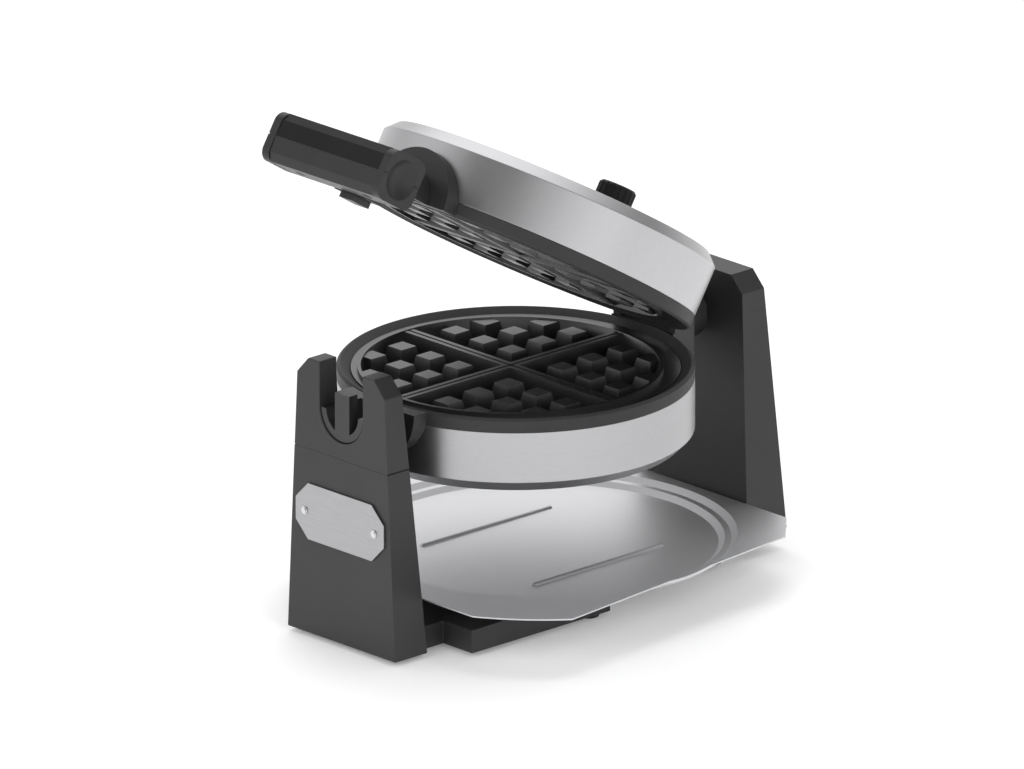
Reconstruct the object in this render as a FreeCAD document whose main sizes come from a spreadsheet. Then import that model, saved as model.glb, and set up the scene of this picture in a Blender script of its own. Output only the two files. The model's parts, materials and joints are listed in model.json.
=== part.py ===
import FreeCAD, Part
import os
import re

os.makedirs("parts", exist_ok=True)
doc = FreeCAD.newDocument("waffle_maker")
vec = FreeCAD.Vector

# Sizes in millimetres and degrees
SIZES = [
    ("frame_shift", 10.44),
    ("side_shift", 3.92),
    ("head_radius", 111.5),
    ("axis_height", 154.0),
    ("half_gap", 0.5),
    ("ring_depth", 9.5),
    ("band_depth", 42.0),
    ("cover_rise", 7.2),
    ("cover_slope", 7.2),
    ("cover_wall", 0.8),
    ("fit_gap", 0.3),
    ("ring_width", 9.0),
    ("shelf_width", 3.8),
    ("shelf_depth", 5.0),
    ("flange_drop", 1.0),
    ("plate_lip", 9.5),
    ("cavity_draft", 4.5),
    ("cavity_depth", 13.5),
    ("grid_forward", 4.5),
    ("plate_floor", 4.0),
    ("stud_first", 22.8),
    ("stud_pitch", 25.7),
    ("stud_base", 17.8),
    ("stud_face", 12.4),
    ("stud_drop", 2.0),
    ("rib_base", 11.0),
    ("rib_face", 7.6),
    ("rib_groove", 1.6),
    ("element_room", 1.0),
    ("boss_circle", 42.0),
    ("element_circle", 66.0),
    ("element_tube", 3.5),
    ("reflector_inset", 13.5),
    ("sheet_wall", 1.0),
    ("journal_radius", 18.9),
    ("journal_wall", 4.4),
    ("slot_play", 0.6),
    ("trunnion_flange", 34.0),
    ("flange_thickness", 6.5),
    ("journal_length", 29.0),
    ("face_clearance", 1.0),
    ("grip_clearance", 16.5),
    ("grip_depth", 33.0),
    ("grip_half_height", 16.0),
    ("grip_rise", 3.0),
    ("grip_half_length", 46.5),
    ("grip_cap", 6.0),
    ("neck_step", 4.0),
    ("neck_step_half", 6.0),
    ("neck_tuck", 2.0),
    ("cap_overhang", 0.2),
    ("cap_corner", 7.5),
    ("dish_ball", 19.0),
    ("dish_depth", 5.0),
    ("hinge_clearance", 3.0),
    ("hinge_rise", 21.2),
    ("hinge_pin_radius", 2.5),
    ("knuckle_radius", 6.0),
    ("ear_radius", 4.6),
    ("knuckle_half", 20.5),
    ("bracket_half", 28.0),
    ("bracket_reach", 11.5),
    ("lid_open", 32.2),
    ("shaft_radius", 6.0),
    ("shaft_play", 0.06),
    ("hub_radius", 17.0),
    ("hub_reach", 33.5),
    ("hub_clearance", 3.0),
    ("tower_foot", 3.0),
    ("rear_tower_foot", 14.0),
    ("neck_clearance", 3.9),
    ("rear_tongue_inset", 12.0),
    ("shoulder_rise", 18.2),
    ("tower_rise", 28.8),
    ("tower_wall", 3.0),
    ("front_tower_depth_low", 27.2),
    ("front_tower_depth_high", 14.8),
    ("front_tower_half_low", 48.9),
    ("front_tower_half_high", 39.8),
    ("front_tower_half_top", 29.9),
    ("front_seam_drop", 30.1),
    ("rear_face_lean", 3.7),
    ("rear_tower_depth_low", 34.0),
    ("rear_tower_depth_high", 22.6),
    ("rear_tower_half_low", 50.8),
    ("rear_tower_half_high", 41.6),
    ("rear_tower_half_top", 31.4),
    ("rear_seam_rise", 5.4),
    ("bush_radius", 10.0),
    ("clip_clearance", 0.6),
    ("inlet_radius", 7.0),
    ("inlet_place", 24.0),
    ("badge_half_width", 39.9),
    ("badge_half_height", 18.4),
    ("badge_height", 83.3),
    ("badge_corner", 11.0),
    ("badge_plate_depth", 1.4),
    ("rivet_place", 31.5),
    ("beam_half_width", 68.0),
    ("beam_setback", 19.8),
    ("beam_wide_end", 17.0),
    ("spine_half_width", 50.0),
    ("beam_top", 18.0),
    ("tongue_top", 9.0),
    ("tray_left", 128.0),
    ("tray_right_front", 140.5),
    ("tray_right_rear", 110.0),
    ("tray_front_gap", 0.2),
    ("tray_rear_gap", 1.5),
    ("tray_offset", 10.0),
    ("tray_corner_reach", 223.0),
    ("tray_corner_circle", 157.0),
    ("tray_rear_reach", 273.0),
    ("tray_rear_shift", 60.0),
    ("pan_side", 3.0),
    ("pan_middle", 19.0),
    ("tray_top", 38.0),
    ("pan_step", 3.0),
    ("pan_radius", 122.5),
    ("tray_rib_place", 50.7),
    ("tray_rib_front", 40.0),
    ("tray_rib_rear", 66.0),
    ("knob_place", 53.0),
    ("spindle_radius", 3.0),
    ("spindle_hole", 3.4),
    ("thermostat_radius", 14.0),
    ("thermostat_depth", 15.0),
    ("knob_radius", 12.3),
    ("knob_height", 20.0),
    ("flute_count", 18.0),
]
NAMES = [alias for alias, value in SIZES]

# Sizes that follow from others, each by a named clearance, wall or rise
FOLLOWING = {
    "cover_depth": "band_depth + cover_rise",
    "cover_floor_radius": "head_radius - cover_slope",
    "plate_radius": "head_radius - ring_width",
    "cavity_radius": "plate_radius - plate_lip",
    "cavity_floor_radius": "cavity_radius - cavity_draft",
    "boss_depth": "cavity_depth + plate_floor + 2 * element_tube + element_room",
    "reflector_radius": "plate_radius - reflector_inset",
    "journal_bore": "journal_radius - journal_wall",
    "slot_radius": "journal_radius + slot_play",
    "flange_front": "head_radius + flange_thickness",
    "journal_front": "flange_front + journal_length",
    "grip_rear": "front_tower_face + grip_clearance",
    "grip_middle_height": "axis_height + grip_rise",
    "hinge_rear": "head_radius + hinge_clearance",
    "hinge_height": "axis_height + hinge_rise",
    "hub_end": "hinge_rear + hub_reach",
    "tower_chamfer_height": "axis_height + shoulder_rise",
    "tower_height": "axis_height + tower_rise",
    "front_tower_face": "journal_front + face_clearance",
    "front_tower_rear_low": "front_tower_face - front_tower_depth_low",
    "front_tower_rear_high": "front_tower_face - front_tower_depth_high",
    "front_seam_height": "axis_height - front_seam_drop",
    "rear_tower_face_low": "hub_end + hub_clearance",
    "rear_tower_face_high": "rear_tower_face_low + rear_face_lean",
    "rear_tower_back_low": "rear_tower_face_low + rear_tower_depth_low",
    "rear_tower_back_high": "rear_tower_face_low + rear_tower_depth_high",
    "rear_seam_height": "axis_height + rear_seam_rise",
    "beam_front": "front_tower_rear_low - beam_setback",
    "neck_half_width": "front_tower_half_low - tower_wall - neck_clearance",
    "rear_tongue_half": "neck_half_width - rear_tongue_inset",
    "tray_front": "front_tower_rear_low + tray_front_gap",
    "tray_rear": "rear_tower_face_low - tray_rear_gap",
    "tray_step": "tray_top - pan_step",
    "tray_floor": "tray_top - 2 * pan_step",
}
VALUE = dict(SIZES)

sheet = doc.addObject("Spreadsheet::Sheet", "sheet")
for row, (alias, value) in enumerate(SIZES, start=1):
    sheet.set("A%d" % row, alias)
    sheet.set("B%d" % row, str(value))
    sheet.setAlias("B%d" % row, alias)
doc.recompute()


def expr(text):
    """The text with each named size turned into a reference to the sheet."""
    def refer(found):
        word = found.group(0)
        if word in FOLLOWING:
            return "(%s)" % expr(FOLLOWING[word])
        return "sheet." + word if word in NAMES else word
    return re.sub(r"[a-z_]+", refer, text)


def bind(obj, **sizes):
    for prop, text in sizes.items():
        obj.setExpression(prop, expr(text))
    return obj


def place(obj, x, y, z):
    for axis, text in zip("xyz", (x, y, z)):
        obj.setExpression("Placement.Base." + axis, expr(text))
    return obj


# Primitive solids, every size bound to the sheet
def box(name, x, y, z):
    obj = doc.addObject("Part::Box", name)
    bind(obj, Length="(%s) - (%s)" % (x[1], x[0]), Width="(%s) - (%s)" % (y[1], y[0]))
    bind(obj, Height="(%s) - (%s)" % (z[1], z[0]))
    return place(obj, x[0], y[0], z[0])


def cylinder(name, radius, start, length, along="z"):
    obj = doc.addObject("Part::Cylinder", name)
    turns = {"z": (vec(0, 0, 1), 0), "y": (vec(1, 0, 0), -90), "x": (vec(0, 1, 0), 90)}
    obj.Placement = FreeCAD.Placement(vec(0, 0, 0), FreeCAD.Rotation(*turns[along]))
    bind(obj, Radius=radius, Height=length)
    return place(obj, *start)


def cone(name, low, high, start, length):
    obj = doc.addObject("Part::Cone", name)
    bind(obj, Radius1=low, Radius2=high, Height=length)
    return place(obj, *start)


def sphere(name, radius, centre):
    obj = doc.addObject("Part::Sphere", name)
    bind(obj, Radius=radius)
    return place(obj, *centre)


def taper(name, low, high, z):
    """A block that changes width and depth evenly from its low end to its high end."""
    obj = doc.addObject("Part::Wedge", name)
    obj.Placement = FreeCAD.Placement(vec(0, 0, 0), FreeCAD.Rotation(vec(1, 0, 0), 90))
    bind(obj, Xmin=low[0], Xmax=low[1], X2min=high[0], X2max=high[1])
    bind(obj, Zmin="-(%s)" % low[3], Zmax="-(%s)" % low[2], Z2min="-(%s)" % high[3], Z2max="-(%s)" % high[2])
    bind(obj, Ymin=z[0], Ymax=z[1])
    return obj


def diamond(name, reach, centre, depth, along):
    """A square bar turned by 45 degrees, used to cut the corners of a plate."""
    obj = doc.addObject("Part::Box", name)
    bind(obj, Length="2 * (%s)" % reach, Width="2 * (%s)" % reach, Height=depth)
    flat = FreeCAD.Rotation(vec(0, 0, 1), 45)
    upright = FreeCAD.Rotation(vec(1, 0, 0), -90).multiply(flat)
    obj.Placement = FreeCAD.Placement(vec(0, 0, 0), flat if along == "z" else upright)
    half = "(%s) * sqrt(2)" % reach
    if along == "z":
        return place(obj, centre[0], "(%s) - (%s)" % (centre[1], half), centre[2])
    return place(obj, centre[0], centre[1], "(%s) + (%s)" % (centre[2], half))


def cut(name, base, tools):
    if len(tools) > 1:
        joined = doc.addObject("Part::Compound", name + "_tools")
        joined.Links = tools
        tool = joined
    else:
        tool = tools[0]
    obj = doc.addObject("Part::Cut", name)
    obj.Base = base
    obj.Tool = tool
    obj.Refine = True
    return obj


def fuse(name, shapes):
    obj = doc.addObject("Part::MultiFuse", name)
    obj.Shapes = shapes
    obj.Refine = True
    return obj


def common(name, shapes):
    obj = doc.addObject("Part::MultiCommon", name)
    obj.Shapes = shapes
    return obj


def group(name, shapes):
    obj = doc.addObject("Part::Compound", name)
    obj.Links = shapes
    return obj


finished = []


def finish(obj, label):
    obj.Label = label
    place(obj, "-side_shift", "-frame_shift", "0")
    finished.append(obj)
    return obj


def tilt(obj, label):
    """Turn a lid piece, built closed, about the hinge to its open place."""
    obj.Placement = FreeCAD.Placement(vec(0, 0, 0), FreeCAD.Rotation(vec(-1, 0, 0), VALUE["lid_open"]))
    obj.setExpression("Placement.Rotation.Angle", expr("lid_open"))
    finish(obj, label)
    return place(obj, "-side_shift",
                 "hinge_rear - hinge_rear * cos(lid_open) - hinge_height * sin(lid_open) - frame_shift",
                 "hinge_height + hinge_rear * sin(lid_open) - hinge_height * cos(lid_open)")


# Head halves, measured away from the parting plane, side -1 below and +1 above
def level(side, near, far):
    if side < 0:
        return "axis_height - (%s)" % far
    return "axis_height + (%s)" % near


def drum(name, radius, near, far, side, x="0", y="0"):
    return cylinder(name, radius, (x, y, level(side, near, far)), "(%s) - (%s)" % (far, near))


def bevel_drum(name, near_radius, far_radius, near, far, side, y="0"):
    ends = (far_radius, near_radius) if side < 0 else (near_radius, far_radius)
    return cone(name, ends[0], ends[1], ("0", y, level(side, near, far)), "(%s) - (%s)" % (far, near))


def slab(name, x, y, near, far, side):
    low = level(side, near, far)
    return box(name, x, y, (low, "(%s) + (%s) - (%s)" % (low, far, near)))


def pyramid(name, x, y, near_half, far_half, near, far, side):
    """A block with its small face nearest the parting plane."""
    far_sides = ("(%s) - (%s)" % (x, far_half[0]), "(%s) + (%s)" % (x, far_half[0]),
                 "(%s) - (%s)" % (y, far_half[1]), "(%s) + (%s)" % (y, far_half[1]))
    near_sides = ("(%s) - (%s)" % (x, near_half[0]), "(%s) + (%s)" % (x, near_half[0]),
                  "(%s) - (%s)" % (y, near_half[1]), "(%s) + (%s)" % (y, near_half[1]))
    low = level(side, near, far)
    span = (low, "(%s) + (%s) - (%s)" % (low, far, near))
    if side < 0:
        return taper(name, far_sides, near_sides, span)
    return taper(name, near_sides, far_sides, span)


def make_cover(half, side):
    outer = fuse(half + "_cover_outer", [
        drum(half + "_cover_band", "head_radius", "ring_depth", "band_depth", side),
        bevel_drum(half + "_cover_rim", "head_radius", "cover_floor_radius",
                   "band_depth", "cover_depth", side),
    ])
    inner = fuse(half + "_cover_inner", [
        drum(half + "_cover_space", "head_radius - cover_wall", "ring_depth - 1", "band_depth", side),
        bevel_drum(half + "_cover_rim_space", "head_radius - cover_wall", "cover_floor_radius - cover_wall",
                   "band_depth", "cover_depth - cover_wall", side),
    ])
    if side < 0:
        hole = drum(half + "_cover_hole", "2.2", "cover_depth - 2", "cover_depth + 2", side)
    else:
        hole = drum(half + "_cover_hole", "spindle_hole", "cover_depth - 2", "cover_depth + 2", side,
                    y="knob_place")
    return cut(half + "_cover", outer, [inner, hole])


def make_ring(half, side):
    body = fuse(half + "_ring_body", [
        drum(half + "_ring_band", "head_radius", "half_gap + 1.6", "ring_depth", side),
        bevel_drum(half + "_ring_edge", "head_radius - 1.6", "head_radius",
                   "half_gap", "half_gap + 1.6", side),
        drum(half + "_ring_skirt", "head_radius - cover_wall - fit_gap",
             "ring_depth", "ring_depth + 5.5", side),
    ])
    seat = drum(half + "_ring_seat", "plate_radius + fit_gap", "half_gap - 1", "shelf_depth", side)
    bore = drum(half + "_ring_bore", "plate_radius - shelf_width + fit_gap",
                "shelf_depth - 1", "ring_depth + 8", side)
    slope = bevel_drum(half + "_ring_slope", "head_radius - 2.4", "plate_radius + fit_gap",
                       "half_gap", "shelf_depth - 1", side)
    return cut(half + "_ring", body, [seat, bore, slope])


def make_plate(half, side):
    casting = fuse(half + "_plate_casting", [
        drum(half + "_plate_flange", "plate_radius", "flange_drop", "shelf_depth", side),
        drum(half + "_plate_body", "plate_radius - shelf_width",
             "shelf_depth", "cavity_depth + plate_floor", side),
        drum(half + "_plate_boss", "8", "cavity_depth + plate_floor", "cover_depth - cover_wall", side),
    ] + [
        drum("%s_plate_post_%d" % (half, turn), "5", "cavity_depth + plate_floor", "boss_depth", side,
             "boss_circle * cos(%d)" % (90 + 120 * turn), "boss_circle * sin(%d)" % (90 + 120 * turn))
        for turn in range(3)
    ])
    cavity = bevel_drum(half + "_plate_cavity", "cavity_radius", "cavity_floor_radius",
                        "flange_drop", "cavity_depth", side, "-grid_forward")
    moat = cut(half + "_plate_moat",
               drum(half + "_moat_out", "plate_radius + 1", "flange_drop - 1", "flange_drop + 2.4", side),
               [drum(half + "_moat_in", "cavity_radius + 2.2", "flange_drop - 2", "flange_drop + 4", side,
                     y="-grid_forward")])
    thread = drum(half + "_plate_thread", "2.05", "cover_depth - 14", "cover_depth + 1", side)
    tools = [cavity, moat] + ([thread] if side < 0 else [])
    pan = cut(half + "_plate_pan", casting, tools)
    raised = []
    for column in range(3):
        for line in range(3):
            if column + line > 3:
                continue
            for sx in (-1, 1):
                for sy in (-1, 1):
                    raised.append(pyramid(
                        "%s_stud_%d%d%d%d" % (half, column, line, sx + 1, sy + 1),
                        "%d * (stud_first + %d * stud_pitch)" % (sx, column),
                        "%d * (stud_first + %d * stud_pitch) - grid_forward" % (sy, line),
                        ("stud_face / 2", "stud_face / 2"), ("stud_base / 2", "stud_base / 2"),
                        "stud_drop", "cavity_depth + 0.5", side))
    ribs = fuse(half + "_ribs", [
        pyramid(half + "_rib_x", "0", "-grid_forward",
                ("head_radius", "rib_face / 2"), ("head_radius", "rib_base / 2"),
                "flange_drop + 0.5", "cavity_depth + 0.5", side),
        pyramid(half + "_rib_y", "0", "0", ("rib_face / 2", "head_radius"), ("rib_base / 2", "head_radius"),
                "flange_drop + 0.5", "cavity_depth + 0.5", side),
    ])
    grooves = [
        slab(half + "_rib_groove_x", ("-head_radius", "head_radius"),
             ("-grid_forward - rib_groove / 2", "-grid_forward + rib_groove / 2"),
             "0", "flange_drop + 1.8", side),
        slab(half + "_rib_groove_y", ("-rib_groove / 2", "rib_groove / 2"), ("-head_radius", "head_radius"),
             "0", "flange_drop + 1.8", side),
    ]
    ridged = cut(half + "_ribs_ridged", ribs, grooves)
    room = bevel_drum(half + "_plate_room", "cavity_radius + 0.4", "cavity_floor_radius + 0.4",
                      "flange_drop", "cavity_depth + 1", side, "-grid_forward")
    standing = fuse(half + "_standing", raised + [ridged])
    kept = common(half + "_standing_kept", [standing, room])
    return fuse(half + "_plate", [pan, kept])


def make_element(half, side):
    tube = doc.addObject("Part::Torus", half + "_element_tube")
    bind(tube, Radius1="element_circle", Radius2="element_tube")
    centre = "cavity_depth + plate_floor + fit_gap + element_tube"
    place(tube, "0", "0", "axis_height + %d * (%s)" % (side, centre))
    pins = [
        drum("%s_element_pin_%d" % (half, number), "2", centre, "cover_depth - thermostat_depth - 1.9", side,
             "element_circle * cos(%d)" % angle, "element_circle * sin(%d)" % angle)
        for number, angle in enumerate((82, 98))
    ]
    return fuse(half + "_element", [tube] + pins)


def make_reflector(half, side):
    disc = drum(half + "_reflector_disc", "reflector_radius", "boss_depth", "boss_depth + sheet_wall", side)
    holes = [drum(half + "_reflector_hole", "9", "boss_depth - 2", "boss_depth + 4", side)]
    for number, angle in enumerate((82, 98)):
        holes.append(drum("%s_reflector_pin_%d" % (half, number), "3",
                          "boss_depth - 2", "boss_depth + 4", side,
                          "element_circle * cos(%d)" % angle, "element_circle * sin(%d)" % angle))
    return cut(half + "_reflector", disc, holes)


def head_clearance(name):
    return cylinder(name, "head_radius + fit_gap", ("0", "0", "axis_height - 60"), "120")


def half_space(name, side):
    """Everything on one side of the parting plane, with half the parting gap left out."""
    if side < 0:
        return box(name, ("-100", "100"), ("-260", "100"), ("axis_height - 80", "axis_height - half_gap"))
    return box(name, ("-100", "100"), ("-260", "100"), ("axis_height + half_gap", "axis_height + 80"))


def make_trunnion(half, side):
    disc = cylinder(half + "_trunnion_disc", "trunnion_flange",
                    ("0", "-flange_front", "axis_height"), "16", "y")
    flange = cut(half + "_trunnion_flange", disc, [head_clearance(half + "_trunnion_saddle")])
    front = "journal_front" if side < 0 else "journal_front + 3.5"
    tube = cylinder(half + "_journal", "journal_radius", ("0", "-(%s)" % front, "axis_height"),
                    "(%s) - flange_front + 0.5" % front, "y")
    bore = cylinder(half + "_journal_bore", "journal_bore", ("0", "-(%s) - 1" % front, "axis_height"),
                    "(%s) - flange_front + 1" % front, "y")
    whole = cut(half + "_trunnion_whole", fuse(half + "_trunnion_solid", [flange, tube]), [bore])
    piece = common(half + "_trunnion_half", [whole, half_space(half + "_trunnion_space", side)])
    if side < 0:
        tongue = box(half + "_tongue", ("-6.5", "6.5"), ("-journal_front", "-journal_front + 7"),
                     ("axis_height - journal_bore - 1", "axis_height + 12"))
        return fuse(half + "_trunnion", [piece, tongue])
    grip_bottom = "grip_middle_height - grip_half_height"
    neck = box(half + "_neck", ("-journal_bore", "journal_bore"), ("-grip_rear", "-journal_front - 3"),
               (grip_bottom, "axis_height + journal_radius - 1"))
    step = box(half + "_neck_step", ("-neck_step_half", "neck_step_half"),
               ("-grip_rear - neck_tuck", "-journal_front - 3.5"),
               (grip_bottom + " - neck_step", grip_bottom))
    return fuse(half + "_trunnion", [piece, neck, step])


# Lower half of the head
finish(make_cover("lower", -1), "lower_cover")
finish(make_ring("lower", -1), "lower_ring")
finish(make_plate("lower", -1), "lower_grid_plate")
finish(make_element("lower", -1), "lower_heating_element")
finish(make_reflector("lower", -1), "lower_reflector")
finish(make_trunnion("lower", -1), "lower_trunnion")
finish(fuse("cover_screw", [
    drum("cover_screw_head", "5", "cover_depth", "cover_depth + 2.2", -1),
    drum("cover_screw_shank", "2", "cover_depth - 12", "cover_depth", -1),
]), "lower_cover_screw")

# Rear bracket that joins the lower half to the pivot shaft and holds the hinge pin
bracket_wide = ("-bracket_half", "bracket_half")
bracket_front = "head_radius - bracket_reach"
bracket_block = box("bracket_block", bracket_wide, (bracket_front, "hinge_rear + 7"),
                    ("axis_height - 30", "axis_height - half_gap"))
bracket_back = box("bracket_back", bracket_wide, ("hinge_rear + 7", "hinge_rear + 12"),
                   ("axis_height - 30", "axis_height + hub_radius"))
bracket_ears = []
for number, edge in enumerate(("-bracket_half", "knuckle_half + 1")):
    ear_wide = "bracket_half - knuckle_half - 1"
    ear_span = (edge, "(%s) + %s" % (edge, ear_wide))
    bracket_ears.append(box("bracket_ear_%d" % number, ear_span,
                            ("hinge_rear - ear_radius", "hinge_rear + 9"),
                            ("axis_height - 4", "axis_height + hub_radius")))
    bracket_ears.append(box("bracket_ear_top_%d" % number, ear_span,
                            ("hinge_rear - ear_radius", "hinge_rear + ear_radius"),
                            ("axis_height", "hinge_height")))
    bracket_ears.append(cylinder("bracket_ear_round_%d" % number, "ear_radius",
                                 (edge, "hinge_rear", "hinge_height"), ear_wide, "x"))
bracket_hub = cylinder("bracket_hub", "hub_radius", ("0", "hinge_rear + 11", "axis_height"),
                       "hub_end - hinge_rear - 11", "y")
bracket_solid = fuse("bracket_solid", [bracket_block, bracket_back, bracket_hub] + bracket_ears)
finish(cut("lower_bracket", bracket_solid, [
    head_clearance("bracket_saddle"),
    cylinder("bracket_shaft_bore", "shaft_radius + shaft_play",
             ("0", "hinge_rear + 10", "axis_height"), "60", "y"),
    cylinder("bracket_pin_bore", "hinge_pin_radius + shaft_play",
             ("-bracket_half - 12", "hinge_rear", "hinge_height"), "2 * bracket_half + 24", "x"),
]), "lower_hinge_bracket")
finish(group("hinge_pin", [
    cylinder("hinge_pin_rod", "hinge_pin_radius", ("-bracket_half - 0.5", "hinge_rear", "hinge_height"),
             "2 * bracket_half + 1", "x"),
]), "hinge_pin")
shaft_end = "rear_tower_back_high - 4.4"
finish(group("pivot_shaft", [
    cylinder("pivot_rod", "shaft_radius", ("0", "hinge_rear + 13", "axis_height"),
             "%s - hinge_rear - 13" % shaft_end, "y"),
]), "pivot_shaft")
clip_front = "rear_tower_face_high + 12.8"
finish(cut("shaft_clip", cylinder("clip_disc", "bush_radius - clip_clearance",
                                  ("0", clip_front, "axis_height"), "1.4", "y"),
           [cylinder("clip_bore", "shaft_radius", ("0", clip_front + " - 1", "axis_height"), "4", "y")]),
       "shaft_clip")

# Lid, built closed and turned open about the hinge pin
tilt(make_cover("upper", 1), "upper_cover")
tilt(make_ring("upper", 1), "upper_ring")
tilt(make_plate("upper", 1), "upper_grid_plate")
tilt(make_element("upper", 1), "upper_heating_element")
tilt(make_reflector("upper", 1), "upper_reflector")
tilt(make_trunnion("upper", 1), "lid_trunnion")
knuckle = fuse("knuckle", [
    cylinder("knuckle_barrel", "knuckle_radius", ("-knuckle_half", "hinge_rear", "hinge_height"),
             "2 * knuckle_half", "x"),
    box("knuckle_web", ("-knuckle_half", "knuckle_half"), (bracket_front, "hinge_rear"),
        ("axis_height + 4", "hinge_height + knuckle_radius")),
])
tilt(cut("lid_bracket", knuckle, [
    head_clearance("knuckle_saddle"),
    box("knuckle_gap", ("-12", "12"), (bracket_front, "hinge_rear + knuckle_radius + 1"),
        ("hinge_height - knuckle_radius - 1", "hinge_height + knuckle_radius + 1")),
    cylinder("knuckle_bore", "hinge_pin_radius + shaft_play",
             ("-knuckle_half - 12", "hinge_rear", "hinge_height"), "2 * knuckle_half + 24", "x"),
]), "lid_hinge_bracket")
thermostat_can = drum("thermostat_can", "thermostat_radius", "cover_depth - thermostat_depth",
                      "cover_depth - cover_wall", 1, y="knob_place")
thermostat_bore = drum("thermostat_bore", "spindle_hole", "cover_depth - thermostat_depth - 1",
                       "cover_depth", 1, y="knob_place")
tilt(cut("thermostat", thermostat_can, [thermostat_bore]), "thermostat")


# Handle across the front of the lid, in an upper and a lower shell
def grip_shell(name, side):
    middle = "-grip_rear - grip_depth / 2"
    rows = ((0, "0"), (10, "0.6"), (15, "4.4"))
    parts = []
    for number in range(2):
        low, high = rows[number], rows[number + 1]
        ends = []
        for height, narrow in (low, high):
            ends.append(("-grip_half_length", "grip_half_length",
                         "%s - grip_depth / 2 + %s" % (middle, narrow),
                         "%s + grip_depth / 2 - %s" % (middle, narrow)))
        scale = "grip_half_height * %g"
        near, far = scale % (low[0] / 15.0), scale % (high[0] / 15.0)
        if side > 0:
            span = ("grip_middle_height + " + near, "grip_middle_height + " + far)
            parts.append(taper("%s_%d" % (name, number), ends[0], ends[1], span))
        else:
            span = ("grip_middle_height - " + far, "grip_middle_height - " + near)
            parts.append(taper("%s_%d" % (name, number), ends[1], ends[0], span))
    body = fuse(name + "_body", parts)
    holes = []
    for number, place_x in enumerate(("-30", "30")):
        start = (place_x, middle, "grip_middle_height - 20")
        holes.append(cylinder("%s_bore_%d" % (name, number), "1.55", start, "32"))
        holes.append(cylinder("%s_head_%d" % (name, number), "3.3", start, "12"))
    return cut(name, body, holes)


tilt(grip_shell("grip_upper", 1), "handle_upper_shell")
tilt(grip_shell("grip_lower", -1), "handle_lower_shell")
tilt(group("grip_screws", [
    fuse("grip_screw_%d" % number, [
        cylinder("grip_screw_shank_%d" % number, "1.5",
                 (place_x, "-grip_rear - grip_depth / 2", "grip_middle_height - 9"), "20"),
        cylinder("grip_screw_head_%d" % number, "3",
                 (place_x, "-grip_rear - grip_depth / 2", "grip_middle_height - 10.5"), "2.5"),
    ]) for number, place_x in enumerate(("-30", "30"))
]), "handle_screws")


def rounded_bar(name, x, y, z, corner):
    """A bar along X whose long edges are rounded."""
    inner_y = ("(%s) + %s" % (y[0], corner), "(%s) - %s" % (y[1], corner))
    inner_z = ("(%s) + %s" % (z[0], corner), "(%s) - %s" % (z[1], corner))
    shapes = [box(name + "_deep", x, y, inner_z), box(name + "_tall", x, inner_y, z)]
    for number, edge_y in enumerate(inner_y):
        for line, edge_z in enumerate(inner_z):
            shapes.append(cylinder("%s_edge_%d%d" % (name, number, line), corner, (x[0], edge_y, edge_z),
                                   "(%s) - (%s)" % (x[1], x[0]), "x"))
    return fuse(name, shapes)


grip_caps = []
for number, turn in enumerate((-1, 1)):
    inner_edge = "grip_half_length" if turn > 0 else "-grip_half_length - grip_cap"
    cap_body = rounded_bar(
        "cap_body_%d" % number, (inner_edge, "(%s) + grip_cap" % inner_edge),
        ("-grip_rear - grip_depth - cap_overhang", "-grip_rear + cap_overhang"),
        ("grip_middle_height - grip_half_height - cap_overhang",
         "grip_middle_height + grip_half_height + cap_overhang"), "cap_corner")
    cap_dish = sphere("cap_dish_%d" % number, "dish_ball",
                      ("%d * (grip_half_length + grip_cap + dish_ball - dish_depth)" % turn,
                       "-grip_rear - grip_depth / 2", "grip_middle_height"))
    outer_edge = "%d * (grip_half_length + grip_cap)" % turn
    cap_line = box("cap_line_%d" % number, ("%s - 0.9" % outer_edge, "%s + 0.9" % outer_edge),
                   ("-grip_rear - grip_depth - 5", "-grip_rear + 5"),
                   ("grip_middle_height - 0.4", "grip_middle_height + 0.4"))
    grip_caps.append(cut("cap_%d" % number, cap_body, [cap_dish, cap_line]))
tilt(group("grip_caps", grip_caps), "handle_end_caps")

# Browning control on the lid
knob_core = fuse("knob_core", [
    drum("knob_drum", "knob_radius", "cover_depth + 0.6", "cover_depth + knob_height - 1.6", 1,
         y="knob_place"),
    cone("knob_edge", "knob_radius", "knob_radius - 1.4",
         ("0", "knob_place", "axis_height + cover_depth + knob_height - 1.6"), "1.6"),
])
knob_flutes = []
for step in range(int(VALUE["flute_count"])):
    angle = "%d * 360 / flute_count" % step
    knob_flutes.append(drum("knob_flute_%d" % step, "1.1",
                            "cover_depth + 3.5", "cover_depth + knob_height + 1", 1,
                            "(knob_radius + 0.4) * cos(%s)" % angle,
                            "knob_place + (knob_radius + 0.4) * sin(%s)" % angle))
knob_socket = drum("knob_socket", "spindle_radius + 0.05", "cover_depth - 1", "cover_depth + 12", 1,
                   y="knob_place")
tilt(cut("browning_knob", knob_core, knob_flutes + [knob_socket]), "browning_knob")
spindle_rod = drum("spindle_rod", "spindle_radius", "cover_depth - 13", "cover_depth + 12", 1, y="knob_place")
spindle_flat = slab("spindle_flat", ("spindle_radius - 0.8", "spindle_radius + 2"),
                    ("knob_place - 5", "knob_place + 5"), "cover_depth + 2", "cover_depth + 13", 1)
tilt(cut("knob_spindle", spindle_rod, [spindle_flat]), "knob_spindle")


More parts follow.
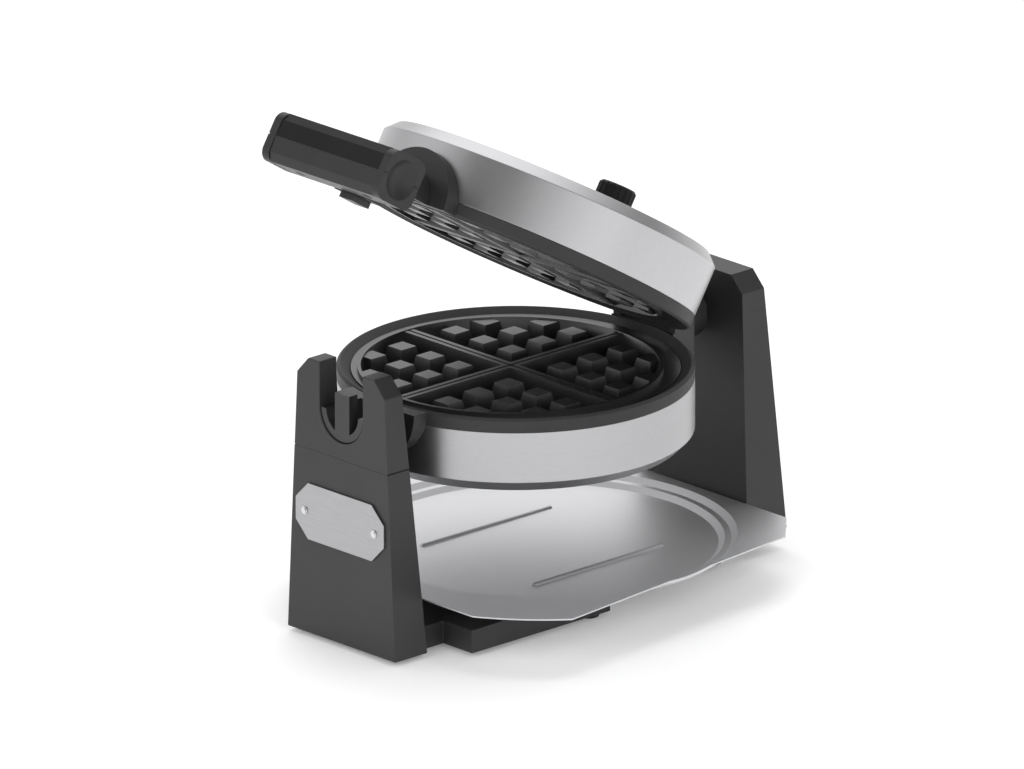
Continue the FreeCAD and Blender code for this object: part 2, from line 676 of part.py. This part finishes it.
# Towers, wide at the foot, with cut shoulders at the top
def tower(name, faces, halves, foot):
    main = taper(name + "_main",
                 ("-" + halves[0], halves[0], faces[0], faces[2]),
                 ("-" + halves[1], halves[1], faces[1], faces[3]),
                 (foot, "tower_chamfer_height"))
    shoulder = taper(name + "_shoulder",
                     ("-" + halves[1], halves[1], faces[1], faces[3]),
                     ("-" + halves[2], halves[2], faces[1], faces[3]),
                     ("tower_chamfer_height", "tower_height"))
    return fuse(name, [main, shoulder])


def tower_space(name, faces, halves, foot, top):
    """The hollow inside a tower, open at the foot."""
    share = "((%s) / tower_chamfer_height)" % top
    narrow = "(%s) + ((%s) - (%s)) * %s"
    low = ("-%s + tower_wall" % halves[0], "%s - tower_wall" % halves[0],
           "%s + tower_wall" % faces[0], "%s - tower_wall" % faces[2])
    half = narrow % (halves[0], halves[1], halves[0], share)
    high = ("-(%s) + tower_wall" % half, "(%s) - tower_wall" % half,
            (narrow % (faces[0], faces[1], faces[0], share)) + " + tower_wall",
            (narrow % (faces[2], faces[3], faces[2], share)) + " - tower_wall")
    return taper(name, low, high, (foot + " - 1", top))


front_faces = ("-front_tower_face", "-front_tower_face", "-front_tower_rear_low", "-front_tower_rear_high")
front_halves = ("front_tower_half_low", "front_tower_half_high", "front_tower_half_top")
rear_faces = ("rear_tower_face_low", "rear_tower_face_high", "rear_tower_back_low", "rear_tower_back_high")
rear_halves = ("rear_tower_half_low", "rear_tower_half_high", "rear_tower_half_top")
front_tower = tower("front_tower", front_faces, front_halves, "tower_foot")
rear_tower = tower("rear_tower", rear_faces, rear_halves, "rear_tower_foot")


def band(name, low, high):
    return box(name, ("-90", "90"), ("-200", "220"), (low, high))


def beam_passage(name, rear):
    span = ("-front_tower_rear_low - tower_wall - 5", "-front_tower_rear_low + 4")
    if rear:
        span = ("rear_tower_face_low - 2", "rear_tower_face_low + tower_wall + 5")
    return box(name, ("-neck_half_width - fit_gap", "neck_half_width + fit_gap"), span,
               ("tower_foot - 1", "beam_top + fit_gap"))


front_low = common("front_low", [front_tower, band("front_low_band", "0", "front_seam_height")])
finish(cut("front_tower_lower", front_low, [
    tower_space("front_space", front_faces, front_halves, "tower_foot", "front_seam_height - tower_wall"),
    beam_passage("front_passage", False),
]), "front_tower_lower")
front_high = common("front_high", [
    front_tower, band("front_high_band", "front_seam_height", "tower_height + 10"),
])
finish(cut("front_tower_upper", front_high, [
    fuse("front_slot", [
        cylinder("front_slot_round", "slot_radius",
                 ("0", "-front_tower_face - 10", "axis_height"), "60", "y"),
        box("front_slot_open", ("-slot_radius", "slot_radius"),
            ("-front_tower_face - 10", "-front_tower_face + 50"), ("axis_height", "tower_height + 20")),
    ]),
]), "front_tower_cradle")
bearing_hole_rear = "rear_tower_back_high - 4"


def bearing_hole(name):
    return cylinder(name, "bush_radius + 0.02", ("0", "rear_tower_face_low - 5", "axis_height"),
                    "%s - rear_tower_face_low + 5" % bearing_hole_rear, "y")


rear_tongue_top = "rear_tower_foot + 8"
inlet_height = "rear_tower_foot + 21"
rear_low = common("rear_low", [rear_tower, band("rear_low_band", "0", "rear_seam_height")])
finish(cut("rear_tower_lower", rear_low, [
    tower_space("rear_space", rear_faces, rear_halves, "rear_tower_foot", "axis_height - 24"),
    beam_passage("rear_passage", True),
    bearing_hole("rear_low_bearing"),
    cylinder("inlet_hole", "inlet_radius + 0.02",
             ("-inlet_place", "rear_tower_back_low - 12", inlet_height), "30", "y"),
]), "rear_tower_body")
rear_high = common("rear_high", [rear_tower, band("rear_high_band", "rear_seam_height", "tower_height + 10")])
finish(cut("rear_tower_upper", rear_high, [bearing_hole("rear_high_bearing")]), "rear_tower_cap")
bush_body = cylinder("bush_body", "bush_radius",
                     ("0", "rear_tower_face_high + 0.5", "axis_height"), "12", "y")
bush_bore = cylinder("bush_bore", "shaft_radius + shaft_play",
                     ("0", "rear_tower_face_high - 5", "axis_height"), "30", "y")
finish(cut("bearing_bush", bush_body, [bush_bore]), "bearing_bush")
inlet_body = fuse("inlet_body", [
    cylinder("inlet_tube", "inlet_radius",
             ("-inlet_place", "rear_tower_back_low - tower_wall - 5", inlet_height), "tower_wall + 6", "y"),
    cylinder("inlet_collar", "inlet_radius + 2",
             ("-inlet_place", "rear_tower_back_low - tower_wall - 7.5", inlet_height), "2.5", "y"),
])
inlet_bore = cylinder("inlet_bore", "inlet_radius - 3.4",
                      ("-inlet_place", "rear_tower_back_low - 20", inlet_height), "40", "y")
finish(cut("cord_inlet", inlet_body, [inlet_bore]), "cord_inlet")
terminal_front = "rear_tower_face_low + tower_wall + 5"
terminal_ways = []
for number, place_x in enumerate(("0", "12", "24")):
    terminal_ways.append(cylinder("terminal_way_%d" % number, "2.2",
                                  (place_x, terminal_front + " - 1", rear_tongue_top + " + 8"), "20", "y"))
terminal_body = box("terminal_body", ("-6", "30"), (terminal_front, terminal_front + " + 14"),
                    (rear_tongue_top, rear_tongue_top + " + 14"))
finish(cut("terminal_block", terminal_body, terminal_ways), "terminal_block")

# Plain plate on the front tower
badge_reach = "(badge_half_width + badge_half_height - badge_corner) / sqrt(2)"
finish(common("badge", [
    box("badge_sheet", ("-badge_half_width", "badge_half_width"),
        ("-front_tower_face - badge_plate_depth", "-front_tower_face"),
        ("badge_height - badge_half_height", "badge_height + badge_half_height")),
    diamond("badge_corners", badge_reach, ("0", "-front_tower_face - 10", "badge_height"), "30", "y"),
]), "badge_plate")
finish(group("badge_rivets", [
    fuse("rivet_%d" % number, [
        cylinder("rivet_shank_%d" % number, "2.4",
                 (place_x, "-front_tower_face - badge_plate_depth - 0.7", "badge_height"), "0.7", "y"),
        cylinder("rivet_head_%d" % number, "1.5",
                 (place_x, "-front_tower_face - badge_plate_depth - 1.1", "badge_height"), "0.4", "y"),
    ]) for number, place_x in enumerate(("-rivet_place", "rivet_place"))
]), "badge_rivets")

# Base frame with a tongue into the foot of each tower
tongue_front = "-front_tower_face + tower_wall + 1"
tongue_rear = "rear_tower_back_low - tower_wall - 2"
finish(fuse("base_frame", [
    box("beam", ("-beam_half_width", "beam_half_width"), ("-beam_front", "beam_wide_end"),
        ("tower_foot", "beam_top")),
    box("spine", ("-spine_half_width", "spine_half_width"), ("beam_wide_end - 1", "rear_tower_face_low - 22"),
        ("tower_foot", "beam_top")),
    box("beam_front_neck", ("-neck_half_width", "neck_half_width"),
        ("-front_tower_rear_low - tower_wall - 1", "-beam_front + 1"), ("tower_foot", "beam_top")),
    box("beam_rear_neck", ("-neck_half_width", "neck_half_width"),
        ("rear_tower_face_low - 23", "rear_tower_face_low + tower_wall + 1"), ("tower_foot", "beam_top")),
    box("front_tongue", ("-neck_half_width", "neck_half_width"),
        (tongue_front, "-front_tower_rear_low - tower_wall"), ("tower_foot", "tongue_top")),
    box("rear_tongue", ("-rear_tongue_half", "rear_tongue_half"),
        ("rear_tower_face_low + tower_wall + 0.5", tongue_rear), ("tower_foot", rear_tongue_top)),
]), "base_frame")
feet = []
foot_places = (
    ("neck_half_width - 8", "-front_tower_face + 14"),
    ("beam_half_width - 10", "beam_wide_end - 10"),
    ("rear_tongue_half - 10", "rear_tower_back_low - 17"),
)
for number, (foot_x, foot_y) in enumerate(foot_places):
    for turn in (-1, 1):
        feet.append(cone("foot_%d_%d" % (number, turn + 1), "7", "8",
                         ("%d * (%s)" % (turn, foot_x), foot_y, "0"), "tower_foot"))
finish(group("rubber_feet", feet), "rubber_feet")
rails = []
for number, rail_y in enumerate(("-14", "62")):
    rails.append(box("rail_%d" % number, ("-beam_half_width - 12", "beam_half_width + 12"),
                     (rail_y, "%s + 12" % rail_y),
                     ("beam_top", "tray_floor - sheet_wall")))
finish(group("tray_rails", rails), "tray_rails")

# Drip tray with a round stepped pan and two raised ribs
tray_middle = "(tray_rear - tray_front) / 2"
pan_centre = ("pan_side", "pan_middle")
tray_span = ("tray_floor - sheet_wall - 1", "tray_top + 1")
tray_outline = doc.addObject("Part::Wedge", "tray_outline")
bind(tray_outline, Xmin="-tray_left", Xmax="tray_right_front", X2min="-tray_left", X2max="tray_right_rear")
bind(tray_outline, Zmin=tray_span[0], Zmax=tray_span[1], Z2min=tray_span[0], Z2max=tray_span[1])
bind(tray_outline, Ymin="-tray_front", Ymax="tray_rear")
tray_corners = diamond("tray_corners", "tray_corner_reach / sqrt(2)",
                       ("tray_offset", tray_middle, "tray_top - 20"), "40", "z")
tray_outer = fuse("tray_outer", [
    box("tray_sheet", ("-tray_left - 5", "tray_right_front + 5"), ("-tray_front - 5", "tray_rear + 5"),
        ("tray_top - sheet_wall", "tray_top")),
    cone("pan_outer_high", "pan_radius - 3", "pan_radius + 1",
         pan_centre + ("tray_step - sheet_wall",), "tray_top - tray_step"),
    cone("pan_outer_low", "pan_radius - 11", "pan_radius - 7",
         pan_centre + ("tray_floor - sheet_wall",), "tray_step - tray_floor"),
])
tray_shell = cut("tray_shell", tray_outer, [fuse("tray_hollow", [
    cone("pan_high", "pan_radius - 4", "pan_radius", pan_centre + ("tray_step",), "tray_top - tray_step"),
    cone("pan_low", "pan_radius - 12", "pan_radius - 8",
         pan_centre + ("tray_floor",), "tray_step - tray_floor"),
])])
tray_round = cylinder("tray_round", "tray_corner_circle", ("tray_offset", tray_middle, "tray_top - 20"), "40")
tray_rear_corners = diamond("tray_rear_corners", "tray_rear_reach / sqrt(2)",
                            ("tray_offset", tray_middle + " - tray_rear_shift", "tray_top - 20"), "40", "z")
tray_limits = [tray_outline, tray_corners, tray_rear_corners, tray_round]
tray_trimmed = common("tray_trimmed", [tray_shell] + tray_limits)
tray_ribs = []
for number, turn in enumerate((-1, 1)):
    rib_x = "tray_offset + %d * tray_rib_place" % turn
    rib = fuse("tray_rib_%d" % number, [
        cylinder("tray_rib_bar_%d" % number, "3", (rib_x, "-tray_rib_front", "tray_floor - 1.2"),
                 "tray_rib_front + tray_rib_rear", "y"),
        sphere("tray_rib_front_%d" % number, "3", (rib_x, "-tray_rib_front", "tray_floor - 1.2")),
        sphere("tray_rib_rear_%d" % number, "3", (rib_x, "tray_rib_rear", "tray_floor - 1.2")),
    ])
    rib_room = box("tray_rib_room_%d" % number, ("%s - 6" % rib_x, "%s + 6" % rib_x),
                   ("-tray_rib_front - 10", "tray_rib_rear + 10"),
                   ("tray_floor - 0.5", "tray_top"))
    tray_ribs.append(common("tray_rib_top_%d" % number, [rib, rib_room]))
finish(fuse("drip_tray", [tray_trimmed] + tray_ribs), "drip_tray")

doc.recompute()

# Every piece is checked before it is written
for obj in doc.Objects:
    if "Invalid" in obj.State or "Error" in obj.State:
        raise RuntimeError("%s is in state %s" % (obj.Name, obj.State))
for obj in finished:
    if obj.Shape.isNull() or not obj.Shape.isValid() or not obj.Shape.Solids:
        raise RuntimeError("%s has no valid solid" % obj.Label)
    obj.Shape.exportStep("parts/%s.step" % obj.Label)
    bounds = obj.Shape.BoundBox
    print("%s solids %d volume %.0f  x %.1f %.1f  y %.1f %.1f  z %.1f %.1f" % (
        obj.Label, len(obj.Shape.Solids), obj.Shape.Volume, bounds.XMin, bounds.XMax,
        bounds.YMin, bounds.YMax, bounds.ZMin, bounds.ZMax))
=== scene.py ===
import json
import math
import bpy
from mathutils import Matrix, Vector

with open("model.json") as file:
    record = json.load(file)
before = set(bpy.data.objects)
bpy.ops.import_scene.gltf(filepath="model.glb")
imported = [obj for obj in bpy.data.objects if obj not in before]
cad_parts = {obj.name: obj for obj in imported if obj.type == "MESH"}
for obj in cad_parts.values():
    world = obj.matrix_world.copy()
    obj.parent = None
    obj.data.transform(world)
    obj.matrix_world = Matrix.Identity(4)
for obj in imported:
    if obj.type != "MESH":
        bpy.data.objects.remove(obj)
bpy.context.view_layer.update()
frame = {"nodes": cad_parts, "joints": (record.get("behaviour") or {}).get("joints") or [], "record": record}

nodes = frame["nodes"]
joints = {joint["name"]: joint for joint in frame["joints"]}
MM = 0.001

# Middles of the head and of the open lid, in metres
HINGE = joints["lid_hinge"]["pos_m"]
HINGE_REACH = 114.5 * MM
LID_TILT = -math.radians(joints["lid_hinge"]["range_deg"][0])
HEAD_CENTRE = (HINGE[0], HINGE[1] - HINGE_REACH, joints["head_flip"]["pos_m"][2])
LID_CENTRE = (HINGE[0],
              HINGE[1] - HINGE_REACH * math.cos(LID_TILT),
              HINGE[2] + HINGE_REACH * math.sin(LID_TILT))


# Node helpers
def new_material(name):
    material = bpy.data.materials.new(name)
    material.use_nodes = True
    tree = material.node_tree
    return material, tree, tree.nodes["Principled BSDF"]


def math_node(tree, operation, first, second=None):
    node = tree.nodes.new("ShaderNodeMath")
    node.operation = operation
    for socket, value in zip(node.inputs, (first, second)):
        if value is None:
            continue
        if isinstance(value, (int, float)):
            socket.default_value = value
        else:
            tree.links.new(value, socket)
    return node.outputs[0]


def map_range(tree, source, low, high, out_low, out_high):
    node = tree.nodes.new("ShaderNodeMapRange")
    node.inputs["From Min"].default_value = low
    node.inputs["From Max"].default_value = high
    node.inputs["To Min"].default_value = out_low
    node.inputs["To Max"].default_value = out_high
    tree.links.new(source, node.inputs["Value"])
    return node.outputs["Result"]


def noise(tree, vector, scale, detail=3.0):
    node = tree.nodes.new("ShaderNodeTexNoise")
    node.inputs["Scale"].default_value = scale
    node.inputs["Detail"].default_value = detail
    tree.links.new(vector, node.inputs["Vector"])
    return node.outputs[0]


def object_point(tree):
    return tree.nodes.new("ShaderNodeTexCoord").outputs["Object"]


def grey(level):
    blue_cast = 1.02
    return (level, level, level * blue_cast)


# Colour that goes from dark to light over a window of the source
def colour_by(tree, shader, source, window, dark, light):
    mix = tree.nodes.new("ShaderNodeMix")
    mix.data_type = "RGBA"
    colour_sockets = [socket for socket in mix.inputs if socket.type == "RGBA"]
    for socket, colour in zip(colour_sockets, (dark, light)):
        socket.default_value = (*colour, 1)
    tree.links.new(map_range(tree, source, *window, 0, 1), mix.inputs[0])
    mixed = next(socket for socket in mix.outputs if socket.type == "RGBA")
    tree.links.new(mixed, shader.inputs["Base Color"])


# Roughness that strays to both sides of its level over a window of the source
def roughness_by(tree, shader, source, window, level, spread):
    below, above = spread
    tree.links.new(map_range(tree, source, *window, level - below, level + above), shader.inputs["Roughness"])


def bump(tree, shader, height, strength, distance):
    node = tree.nodes.new("ShaderNodeBump")
    node.inputs["Strength"].default_value = strength
    node.inputs["Distance"].default_value = distance
    tree.links.new(height, node.inputs["Height"])
    tree.links.new(node.outputs[0], shader.inputs["Normal"])


# Stretches of a noise's range that a change is spread over
NOISE_CORE = (0.3, 0.7)
STREAK_TONE = (0.25, 0.75)
STREAK_POLISH = (0.2, 0.8)

# Moulded plastic: fine grain in the surface, slight change of tone over it
PLASTIC_TONE_SCALE = 18.0
PLASTIC_GRAIN_DETAIL = 2.0
PLASTIC_GRAIN_STRENGTH = 0.35
PLASTIC_ROUGH_SPREAD = (0.05, 0.06)


def plastic(name, dark, light, rough, grain_scale=2200.0, grain_depth=0.05 * MM, gloss=0.5):
    material, tree, shader = new_material(name)
    shader.inputs["Specular IOR Level"].default_value = gloss
    point = object_point(tree)
    tone = noise(tree, point, PLASTIC_TONE_SCALE)
    colour_by(tree, shader, tone, NOISE_CORE, grey(dark), grey(light))
    grain = noise(tree, point, grain_scale, PLASTIC_GRAIN_DETAIL)
    roughness_by(tree, shader, grain, NOISE_CORE, rough, PLASTIC_ROUGH_SPREAD)
    bump(tree, shader, grain, PLASTIC_GRAIN_STRENGTH, grain_depth)
    return material


# Metal brushed in circles round an axis, or along one line
STREAK_SCALE = 4200.0
STREAK_DETAIL = 2.0
STREAKS_ROUND = 22.0
STREAKS_ALONG = 60.0
STREAK_STRENGTH = 0.06
METAL_BUMP_DEPTH = 0.03 * MM
METAL_ROUGH_SPREAD = (0.04, 0.05)


def turned_point(tree, point, centre, tilt):
    shift = tree.nodes.new("ShaderNodeVectorMath")
    shift.operation = "SUBTRACT"
    shift.inputs[1].default_value = centre
    tree.links.new(point, shift.inputs[0])
    spin = tree.nodes.new("ShaderNodeVectorRotate")
    spin.rotation_type = "X_AXIS"
    spin.inputs["Angle"].default_value = tilt
    tree.links.new(shift.outputs[0], spin.inputs["Vector"])
    return spin.outputs[0]


def round_streaks(tree, across, along, up):
    across_square = math_node(tree, "MULTIPLY", across, across)
    along_square = math_node(tree, "MULTIPLY", along, along)
    reach = math_node(tree, "SQRT", math_node(tree, "ADD", across_square, along_square))
    angle = math_node(tree, "ARCTAN2", along, across)
    return (math_node(tree, "MULTIPLY", reach, STREAK_SCALE),
            math_node(tree, "MULTIPLY", up, STREAK_SCALE),
            math_node(tree, "MULTIPLY", angle, STREAKS_ROUND))


def brushed(name, dark, light, rough, turn=None, line=None):
    material, tree, shader = new_material(name)
    point = object_point(tree)
    parts = tree.nodes.new("ShaderNodeSeparateXYZ")
    if turn is not None:
        tree.links.new(turned_point(tree, point, *turn), parts.inputs[0])
        grain = round_streaks(tree, *parts.outputs)
    else:
        tree.links.new(point, parts.inputs[0])
        scales = [STREAKS_ALONG if index == line else STREAK_SCALE for index in range(3)]
        grain = [math_node(tree, "MULTIPLY", part, scale) for part, scale in zip(parts.outputs, scales)]
    joined = tree.nodes.new("ShaderNodeCombineXYZ")
    for source, socket in zip(grain, joined.inputs):
        tree.links.new(source, socket)
    streaks = noise(tree, joined.outputs[0], 1.0, STREAK_DETAIL)
    colour_by(tree, shader, streaks, STREAK_TONE, grey(dark), grey(light))
    roughness_by(tree, shader, streaks, STREAK_POLISH, rough, METAL_ROUGH_SPREAD)
    shader.inputs["Metallic"].default_value = 1.0
    bump(tree, shader, streaks, STREAK_STRENGTH, METAL_BUMP_DEPTH)
    return material


# Plain metal with a faint mottle
MOTTLE_SCALE = 240.0
MOTTLE_STRENGTH = 0.05


def metal(name, dark, light, rough):
    material, tree, shader = new_material(name)
    tone = noise(tree, object_point(tree), MOTTLE_SCALE)
    colour_by(tree, shader, tone, NOISE_CORE, dark, light)
    roughness_by(tree, shader, tone, NOISE_CORE, rough, METAL_ROUGH_SPREAD)
    shader.inputs["Metallic"].default_value = 1.0
    bump(tree, shader, tone, MOTTLE_STRENGTH, METAL_BUMP_DEPTH)
    return material


# Dark nonstick coating: a fine speckle with a soft gloss
COAT_TONE_SCALE = 40.0
SPECK_SCALE = 3200.0
SPECK_DETAIL = 1.0
SPECK_STRENGTH = 0.3
SPECK_DEPTH = 0.05 * MM
SPECK_ROUGH_SPREAD = (0.06, 0.06)


def nonstick(name, dark, light, rough, gloss):
    material, tree, shader = new_material(name)
    point = object_point(tree)
    speck = noise(tree, point, SPECK_SCALE, SPECK_DETAIL)
    tone = noise(tree, point, COAT_TONE_SCALE)
    colour_by(tree, shader, tone, NOISE_CORE, grey(dark), grey(light))
    roughness_by(tree, shader, speck, NOISE_CORE, rough, SPECK_ROUGH_SPREAD)
    shader.inputs["Specular IOR Level"].default_value = gloss
    bump(tree, shader, speck, SPECK_STRENGTH, SPECK_DEPTH)
    return material


# Finish of each material slot of the record, and of the pieces that differ from their slot
SLOT_LOOKS = {
    "tower_plastic": (plastic, dict(dark=0.022, light=0.027, rough=0.42, gloss=0.4)),
    "handle_plastic": (plastic, dict(dark=0.022, light=0.028, rough=0.36, gloss=0.25)),
    "bracket_plastic": (plastic, dict(dark=0.018, light=0.024, rough=0.4)),
    "ring_plastic": (plastic, dict(dark=0.026, light=0.036, rough=0.5, gloss=0.25,
                                   grain_scale=1100.0, grain_depth=0.2 * MM)),
    "terminal_plastic": (plastic, dict(dark=0.68, light=0.75, rough=0.45)),
    "foot_rubber": (plastic, dict(dark=0.012, light=0.017, rough=0.7,
                                  grain_scale=900.0, grain_depth=0.1 * MM)),
    "nonstick_plate": (nonstick, dict(dark=0.011, light=0.016, rough=0.32, gloss=1.0)),
    # The lower cover's steel is painted darker than the lid's copy of the same steel, as painted shade
    "cover_steel": (brushed, dict(dark=0.42, light=0.48, rough=0.36, turn=(HEAD_CENTRE, 0.0))),
    "badge_metal": (brushed, dict(dark=0.36, light=0.44, rough=0.36, line=0)),
    "tray_steel": (brushed, dict(dark=0.64, light=0.71, rough=0.5, line=0)),
    "element_steel": (metal, dict(dark=(0.2, 0.19, 0.18), light=(0.3, 0.29, 0.28), rough=0.45)),
    "reflector_aluminium": (metal, dict(dark=grey(0.68), light=grey(0.76), rough=0.3)),
    "hardware_steel": (metal, dict(dark=grey(0.55), light=grey(0.66), rough=0.22)),
    "bush_brass": (metal, dict(dark=(0.62, 0.46, 0.2), light=(0.72, 0.56, 0.28), rough=0.28)),
    "thermostat_can": (metal, dict(dark=grey(0.55), light=grey(0.64), rough=0.35)),
    "rivet_metal": (metal, dict(dark=grey(0.6), light=grey(0.7), rough=0.2)),
}
finishes = {slot: make(slot, **look) for slot, (make, look) in SLOT_LOOKS.items()}
# The same cover steel on the lid, with its streaks turned about the lid's own centre and tilt, and painted
# lighter than the lower cover's steel, as painted light
lid_cover_steel_painted_lighter = brushed("lid_cover_steel_painted_lighter", dark=0.5, light=0.56, rough=0.33, turn=(LID_CENTRE, LID_TILT))
# Darker black plastic: the browning knob's own black, and painted shade on the handle's upper shell, which is
# the same plastic as the lower shell
black_knob_and_painted_shade_plastic = plastic("black_knob_and_painted_shade_plastic", dark=0.011, light=0.015, rough=0.4, gloss=0.12)
slot_of = {entry["node"]: entry["material_slot"] for entry in frame["record"]["subparts"]}


def dress(name, material):
    materials = nodes[name].data.materials
    materials.clear()
    materials.append(material)


for name in nodes:
    dress(name, finishes[slot_of[name]])
dress("upper_cover", lid_cover_steel_painted_lighter)
# The handle's upper shell painted darker than its lower shell, as painted shade
dress("handle_upper_shell", black_knob_and_painted_shade_plastic)
dress("browning_knob", black_knob_and_painted_shade_plastic)

# Faces shaded smoothly, so that curves and rounded edges read as curves
smooth_faces = bpy.data.node_groups.new("smooth_faces", "GeometryNodeTree")
for way in ("INPUT", "OUTPUT"):
    smooth_faces.interface.new_socket("Geometry", in_out=way, socket_type="NodeSocketGeometry")
faces_in = smooth_faces.nodes.new("NodeGroupInput")
faces_smooth = smooth_faces.nodes.new("GeometryNodeSetShadeSmooth")
faces_out = smooth_faces.nodes.new("NodeGroupOutput")
smooth_faces.links.new(faces_in.outputs[0], faces_smooth.inputs["Geometry"])
smooth_faces.links.new(faces_smooth.outputs[0], faces_out.inputs[0])

# Edges softened as moulded and pressed pieces have them
WELD_REACH = 0.005 * MM
SHARP_EDGE = math.radians(28.0)
FLAT_WEIGHT = 90


def soften(names, width, segments=3):
    for name in names:
        weld = nodes[name].modifiers.new("weld", "WELD")
        weld.merge_threshold = WELD_REACH
        edge = nodes[name].modifiers.new("edge", "BEVEL")
        edge.width = width
        edge.segments = segments
        edge.limit_method = "ANGLE"
        edge.angle_limit = SHARP_EDGE
        smooth = nodes[name].modifiers.new("smooth", "NODES")
        smooth.node_group = smooth_faces
        flat = nodes[name].modifiers.new("flat", "WEIGHTED_NORMAL")
        flat.weight = FLAT_WEIGHT


soften(["front_tower_lower", "front_tower_cradle", "rear_tower_body", "rear_tower_cap"], 0.7 * MM)
soften(["base_frame", "tray_rails"], 0.9 * MM)
soften(["handle_upper_shell", "handle_lower_shell", "handle_end_caps"], 0.35 * MM)
soften(["lower_trunnion", "lower_hinge_bracket", "lid_hinge_bracket"], 0.7 * MM)
soften(["lid_trunnion"], 1.4 * MM)
soften(["lower_ring", "upper_ring"], 0.4 * MM)
soften(["lower_grid_plate", "upper_grid_plate"], 0.5 * MM, segments=2)
soften(["lower_cover", "upper_cover"], 0.35 * MM)
soften(["browning_knob"], 0.25 * MM, segments=2)
soften(["badge_plate"], 0.3 * MM)
soften(["drip_tray"], 0.45 * MM)

# White paper floor
FLOOR_REACH = 30.0
FLOOR_GLOW = 0.16
PAPER_WHITE = (0.97, 0.97, 0.97, 1)
PAPER_ROUGHNESS = 0.9
floor_mesh = bpy.data.meshes.new("floor")
floor_corners = [(-FLOOR_REACH, -FLOOR_REACH, 0), (FLOOR_REACH, -FLOOR_REACH, 0),
                 (FLOOR_REACH, FLOOR_REACH, 0), (-FLOOR_REACH, FLOOR_REACH, 0)]
floor_mesh.from_pydata(floor_corners, [], [(0, 1, 2, 3)])
floor = bpy.data.objects.new("floor", floor_mesh)
bpy.context.scene.collection.objects.link(floor)
floor_look, floor_tree, floor_shader = new_material("floor_paper")
floor_shader.inputs["Base Color"].default_value = PAPER_WHITE
floor_shader.inputs["Roughness"].default_value = PAPER_ROUGHNESS
floor_shader.inputs["Emission Color"].default_value = (1, 1, 1, 1)
floor_rays = floor_tree.nodes.new("ShaderNodeLightPath")
floor_seen = floor_rays.outputs["Is Camera Ray"]
for kind in ("Is Glossy Ray", "Is Transmission Ray"):
    floor_seen = math_node(floor_tree, "MAXIMUM", floor_seen, floor_rays.outputs[kind])
floor_tree.links.new(math_node(floor_tree, "MULTIPLY", floor_seen, FLOOR_GLOW),
                     floor_shader.inputs["Emission Strength"])
floor_mesh.materials.append(floor_look)

# Three soft lamps round the object, in metres and watts
LAMP_TARGET = Vector((0.0, 0.0, 0.15))


def area_light(name, place, size, power):
    data = bpy.data.lights.new(name, "AREA")
    data.shape = "RECTANGLE"
    data.size, data.size_y = size
    data.energy = power
    lamp = bpy.data.objects.new(name, data)
    lamp.location = place
    lamp.rotation_euler = (LAMP_TARGET - Vector(place)).to_track_quat("-Z", "Y").to_euler()
    lamp.visible_glossy = False
    bpy.context.scene.collection.objects.link(lamp)


area_light("key", place=(0.3, -2.0, 1.0), size=(1.2, 1.2), power=15.0)
area_light("side", place=(2.1, -0.5, 1.1), size=(1.2, 1.4), power=14.0)
area_light("top", place=(-0.2, 0.3, 2.4), size=(1.6, 1.6), power=14.0)

# Dim room, pale low down: a bright wall at the right, a broad light high behind, a low one at the left
ROOM_LEVEL = 0.28
SKIRTING_GLOW = 0.55
SKIRTING_HEIGHTS = (0.05, 0.35)
ROOM_LIGHTS = (
    dict(direction=(0.95, -0.31, 0.0), edge=0.55, core=0.98, gain=0.7),
    dict(direction=(-0.45, 0.45, 0.77), edge=0.72, core=0.95, gain=1.3),
    dict(direction=(-0.69, -0.7, 0.2), edge=0.8, core=0.97, gain=0.7),
)
world = bpy.data.worlds.new("studio")
bpy.context.scene.world = world
world.use_nodes = True
world_tree = world.node_tree
background = world_tree.nodes["Background"]
sky_way = world_tree.nodes.new("ShaderNodeTexCoord").outputs["Generated"]
sky_parts = world_tree.nodes.new("ShaderNodeSeparateXYZ")
world_tree.links.new(sky_way, sky_parts.inputs[0])
height = math_node(world_tree, "ABSOLUTE", sky_parts.outputs["Z"])
low_glow = map_range(world_tree, height, *SKIRTING_HEIGHTS, SKIRTING_GLOW, 0.0)
strength = math_node(world_tree, "ADD", low_glow, ROOM_LEVEL)
for light in ROOM_LIGHTS:
    aim = world_tree.nodes.new("ShaderNodeVectorMath")
    aim.operation = "DOT_PRODUCT"
    aim.inputs[1].default_value = light["direction"]
    world_tree.links.new(sky_way, aim.inputs[0])
    glow = map_range(world_tree, aim.outputs["Value"], light["edge"], light["core"], 0.0, light["gain"])
    strength = math_node(world_tree, "ADD", glow, strength)
world_tree.links.new(strength, background.inputs["Strength"])
background.inputs["Color"].default_value = (1, 1, 1, 1)

# Camera at the photograph's angle: a long lens far off, lengths of the lens in millimetres
CAMERA_PLACE = Vector((11.04904, -10.39292, 5.2598))
CAMERA_TARGET = Vector((-0.25583, 0.22299, 0.02258))
SENSOR_WIDTH = 36.0
LENS_LENGTH = 906.1
SIGHT_END = 100.0
camera_data = bpy.data.cameras.new("camera")
camera_data.sensor_width = SENSOR_WIDTH
camera_data.lens = LENS_LENGTH
camera_data.clip_end = SIGHT_END
camera = bpy.data.objects.new("camera", camera_data)
camera.location = CAMERA_PLACE
camera.rotation_euler = (CAMERA_TARGET - CAMERA_PLACE).to_track_quat("-Z", "Y").to_euler()
bpy.context.scene.collection.objects.link(camera)
bpy.context.scene.camera = camera
bpy.context.scene.view_settings.view_transform = "Standard"
